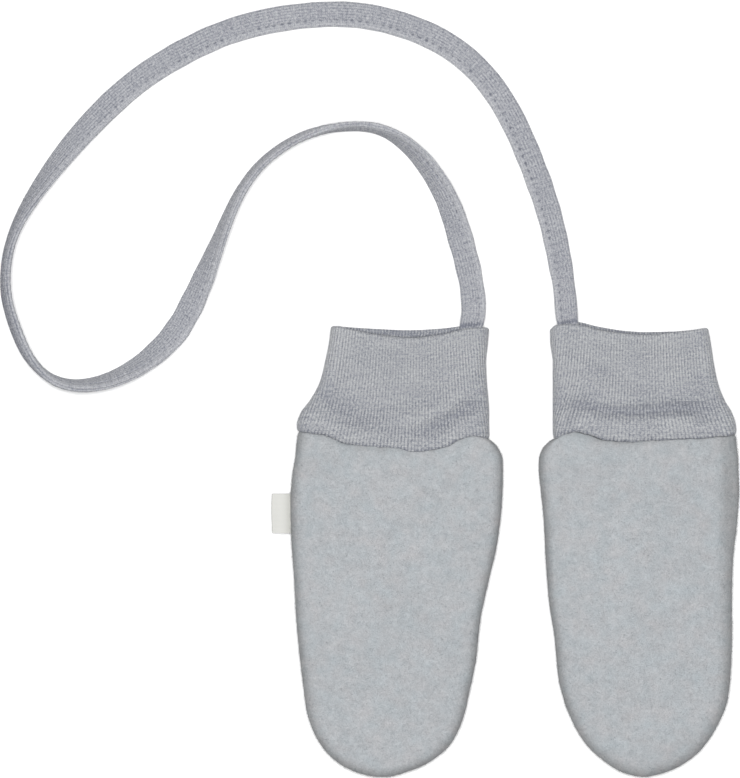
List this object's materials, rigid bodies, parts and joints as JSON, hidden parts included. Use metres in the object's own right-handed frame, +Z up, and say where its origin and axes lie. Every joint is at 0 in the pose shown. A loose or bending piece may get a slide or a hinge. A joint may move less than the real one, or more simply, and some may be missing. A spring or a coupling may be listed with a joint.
{
  "type": "pair of baby mittens",
  "caption": "Flat-laid pair of thumbless baby mittens in brushed fleece with folded jersey cuffs, joined by a long flat jersey band.",
  "frame": {"origin": "on the surface, under the middle of the box round the two mittens and the label, without the band", "axes": "+Y from the finger tips to the cuffs, +X from the left mitten to the right one, +Z up from the surface they lie on"},
  "size_m": [0.2732, 0.2871, 0.0095],
  "materials": {
    "fleece": "brushed, light grey melange with a short soft nap",
    "cuff_jersey": "fine slubby jersey, matte, faintly bluish grey",
    "band_jersey": "the same jersey, topstitched along one edge",
    "label_weave": "off-white woven tape, folded double and left blank"
  },
  "bodies": {
    "root": {"left_front": "fleece", "left_back": "fleece", "left_cuff": "cuff_jersey", "right_front": "fleece", "right_back": "fleece", "right_cuff": "cuff_jersey", "band": "band_jersey", "label": "label_weave"}
  },
  "joints": []
}
